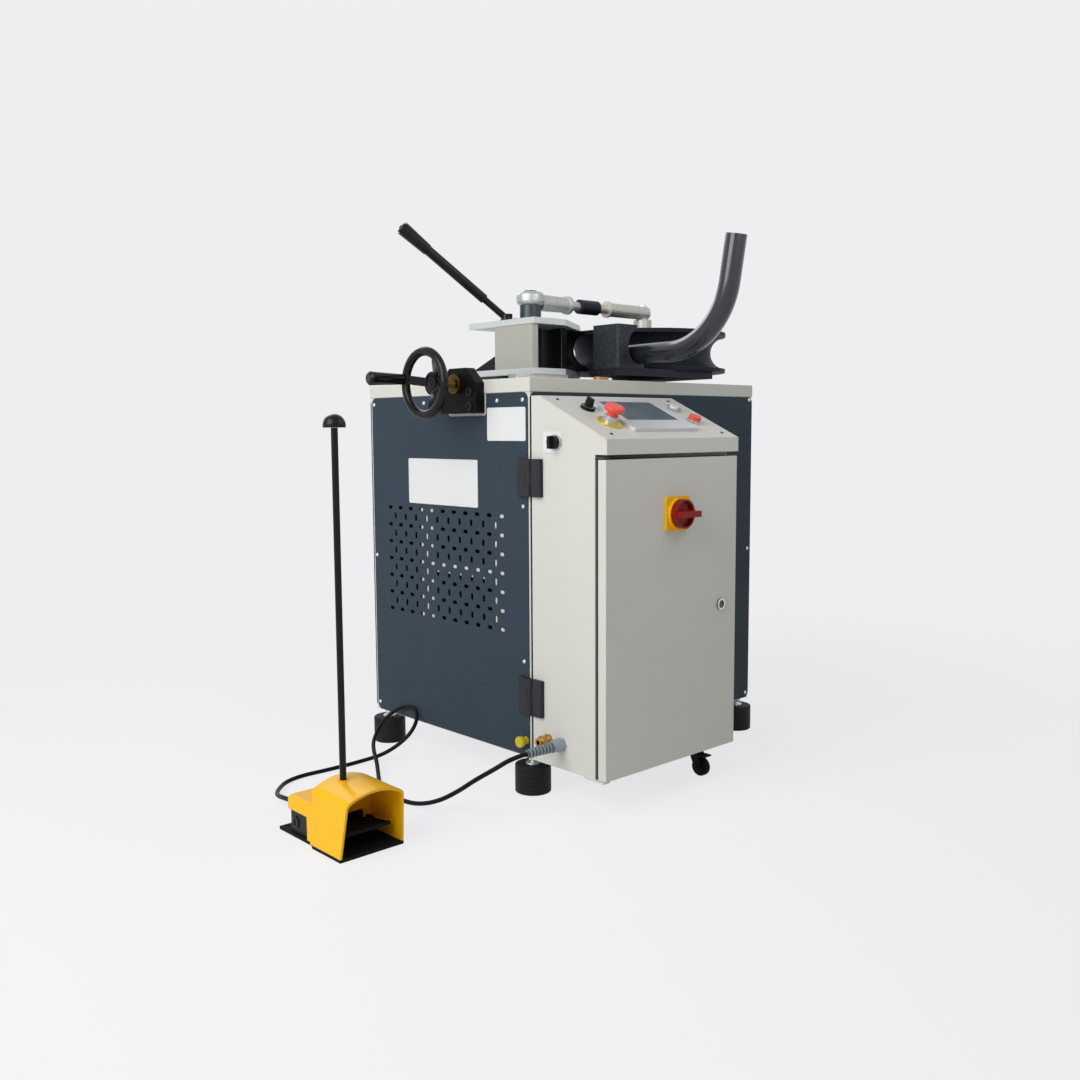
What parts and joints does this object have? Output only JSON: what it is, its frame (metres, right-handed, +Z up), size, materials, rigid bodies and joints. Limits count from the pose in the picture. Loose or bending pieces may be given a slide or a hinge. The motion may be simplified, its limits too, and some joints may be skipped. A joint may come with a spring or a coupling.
{
  "type": "pipe bending machine",
  "caption": "Floor-standing rotary pipe bender with grooved die, screw-fed roller carriage, swing-out control cabinet and hooded foot switch.",
  "frame": {"origin": "middle of the front left foot's underside, on the floor", "axes": "+X along the front to the right, +Y to the back, +Z up"},
  "size_m": [1.2305, 0.8301, 1.1761],
  "materials": {
    "cream_paint": "smooth powder coat",
    "panel_paint": "fine textured powder coat",
    "black_rubber": "moulded",
    "cable_rubber": "smooth sheath",
    "bright_steel": "zinc plated",
    "cast_steel": "plated forging",
    "black_steel": "black oxide",
    "pipe_steel": "mill scale",
    "motor_casting": "painted casting",
    "brass": "turned",
    "bezel_metal": "satin",
    "yellow_plastic": "gloss",
    "red_plastic": "gloss",
    "white_plastic": "gloss",
    "black_plastic": "satin moulding",
    "grey_plastic": "satin moulding"
  },
  "bodies": {
    "base": {"frame_tubes": "cream_paint", "base_tray": "cream_paint", "table_plate": "cream_paint", "left_panel": "panel_paint", "front_panel": "panel_paint", "right_panel": "panel_paint", "rear_panel": "panel_paint", "rubber_feet": "black_rubber", "foot_studs": "bright_steel", "screw_bracket": "black_steel", "screw_bush": "brass", "hinge_frame_leaves": "black_steel", "guide_rails": "black_steel", "gear_motor": "motor_casting", "spindle_bearing": "black_steel", "tie_rod_fixed": "cast_steel", "yellow_plug": "yellow_plastic", "pedal_base": "black_steel", "pedal_hood": "yellow_plastic", "pedal_switch_box": "black_plastic", "pedal_pole": "black_plastic", "pedal_cable": "cable_rubber"},
    "treadle": {"pedal_treadle": "black_plastic"},
    "die": {"drive_spindle": "bright_steel", "drive_plate": "black_steel", "bending_die": "black_steel", "hook_block": "black_steel", "bent_pipe": "pipe_steel"},
    "carriage": {"carriage_bottom_plate": "bright_steel", "carriage_top_plate": "bright_steel", "carriage_side_plate": "bright_steel", "anchor_post": "cast_steel", "tie_rod_end": "cast_steel", "roller_pin": "bright_steel", "screw_nut": "black_steel"},
    "roller": {"counter_roller": "black_steel"},
    "turnbuckle": {"tie_rod_sleeve": "black_steel"},
    "lever": {"clamp_lever": "black_steel"},
    "wheel": {"handwheel": "black_plastic", "lead_screw": "bright_steel"},
    "grip": {"handwheel_grip": "black_plastic"},
    "cabinet": {"cabinet_shell": "cream_paint", "control_panel": "cream_paint", "touch_screen": "grey_plastic", "electrical_tray": "grey_plastic", "hinge_cabinet_leaves": "black_steel", "cable_gland": "grey_plastic", "brass_gland": "brass", "control_bezels": "bezel_metal"},
    "door": {"cabinet_door": "cream_paint", "main_switch_plate": "yellow_plastic"},
    "main_knob": {"main_switch_knob": "red_plastic"},
    "lock": {"door_lock": "bezel_metal"},
    "estop": {"estop_button": "red_plastic"},
    "start": {"start_button": "white_plastic"},
    "stop": {"stop_button": "red_plastic"},
    "slope_selector": {"panel_selector": "black_plastic"},
    "wall_selector": {"side_selector": "black_plastic"},
    "castor": {"caster_fork": "black_plastic"},
    "castor_wheel": {"caster_wheel": "black_plastic"}
  },
  "joints": [
    {"name": "die_turn", "type": "hinge", "parent": "base", "child": "die", "pos_m": [0.532, 0.178, 0.9], "axis": [0, 0, 1], "range_deg": [0, 180]},
    {"name": "handwheel_turn", "type": "hinge", "parent": "base", "child": "wheel", "pos_m": [-0.1305, 0.178, 0.842], "axis": [1, 0, 0], "range_deg": [0, 1440]},
    {"name": "carriage_slide", "type": "slide", "parent": "base", "child": "carriage", "axis": [1, 0, 0], "range_m": [-0.04, 0]},
    {"name": "turnbuckle_turn", "type": "hinge", "parent": "base", "child": "turnbuckle", "pos_m": [0.342, 0.178, 1.027], "axis": [1, 0, 0], "range_deg": [0, 2880]},
    {"name": "grip_spin", "type": "hinge", "parent": "wheel", "child": "grip", "pos_m": [-0.185, 0.23973, 0.85178], "axis": [1, 0, 0], "continuous": true},
    {"name": "roller_spin", "type": "hinge", "parent": "carriage", "child": "roller", "pos_m": [0.2765, 0.178, 0.922], "axis": [0, 0, 1], "continuous": true},
    {"name": "lever_swing", "type": "hinge", "parent": "carriage", "child": "lever", "pos_m": [0.128, 0.218, 0.991], "axis": [0, 0, 1], "range_deg": [-20, 60]},
    {"name": "treadle_press", "type": "hinge", "parent": "base", "child": "treadle", "pos_m": [-0.4315, 0.034, 0.026], "axis": [1, 0, 0], "range_deg": [0, 8], "stiffness_Nm_per_rad": 8, "springref_deg": -5.73},
    {"name": "cabinet_swing", "type": "hinge", "parent": "base", "child": "cabinet", "pos_m": [-0.028, -0.024, 0.43], "axis": [0, 0, -1], "range_deg": [0, 80], "deforming": ["pedal_cable"]},
    {"name": "door_swing", "type": "hinge", "parent": "cabinet", "child": "door", "pos_m": [-0.014, -0.217, 0.38], "axis": [0, 0, 1], "range_deg": [-90, 0]},
    {"name": "main_switch_turn", "type": "hinge", "parent": "door", "child": "main_knob", "pos_m": [0.178, -0.25, 0.58], "axis": [0, 1, 0], "range_deg": [0, 90]},
    {"name": "lock_turn", "type": "hinge", "parent": "door", "child": "lock", "pos_m": [0.322, -0.225, 0.382], "axis": [0, 1, 0], "range_deg": [0, 90]},
    {"name": "estop_press", "type": "slide", "parent": "cabinet", "child": "estop", "axis": [0, 0.421, -0.907], "range_m": [0, 0.005], "stiffness_N_per_m": 600, "springref_m": -0.004},
    {"name": "start_press", "type": "slide", "parent": "cabinet", "child": "start", "axis": [0, 0.421, -0.907], "range_m": [0, 0.003], "stiffness_N_per_m": 400, "springref_m": -0.003},
    {"name": "stop_press", "type": "slide", "parent": "cabinet", "child": "stop", "axis": [0, 0.421, -0.907], "range_m": [0, 0.003], "stiffness_N_per_m": 400, "springref_m": -0.003},
    {"name": "slope_selector_turn", "type": "hinge", "parent": "cabinet", "child": "slope_selector", "pos_m": [0.053, -0.10785, 0.78625], "axis": [0, -0.421, 0.907], "range_deg": [-45, 45]},
    {"name": "wall_selector_turn", "type": "hinge", "parent": "cabinet", "child": "wall_selector", "pos_m": [-0.03, -0.098, 0.722], "axis": [1, 0, 0], "range_deg": [-45, 45]},
    {"name": "castor_swivel", "type": "hinge", "parent": "cabinet", "child": "castor", "pos_m": [0.329, -0.156, 0.07], "axis": [0, 0, 1], "continuous": true},
    {"name": "castor_wheel_spin", "type": "hinge", "parent": "castor", "child": "castor_wheel", "pos_m": [0.329, -0.178, 0.02], "axis": [1, 0, 0], "continuous": true}
  ],
  "couplings": [
    {"joint": "handwheel_turn", "follows": "carriage_slide", "rad_per_m": -628.32},
    {"joint": "turnbuckle_turn", "follows": "carriage_slide", "rad_per_m": -1256.6}
  ]
}
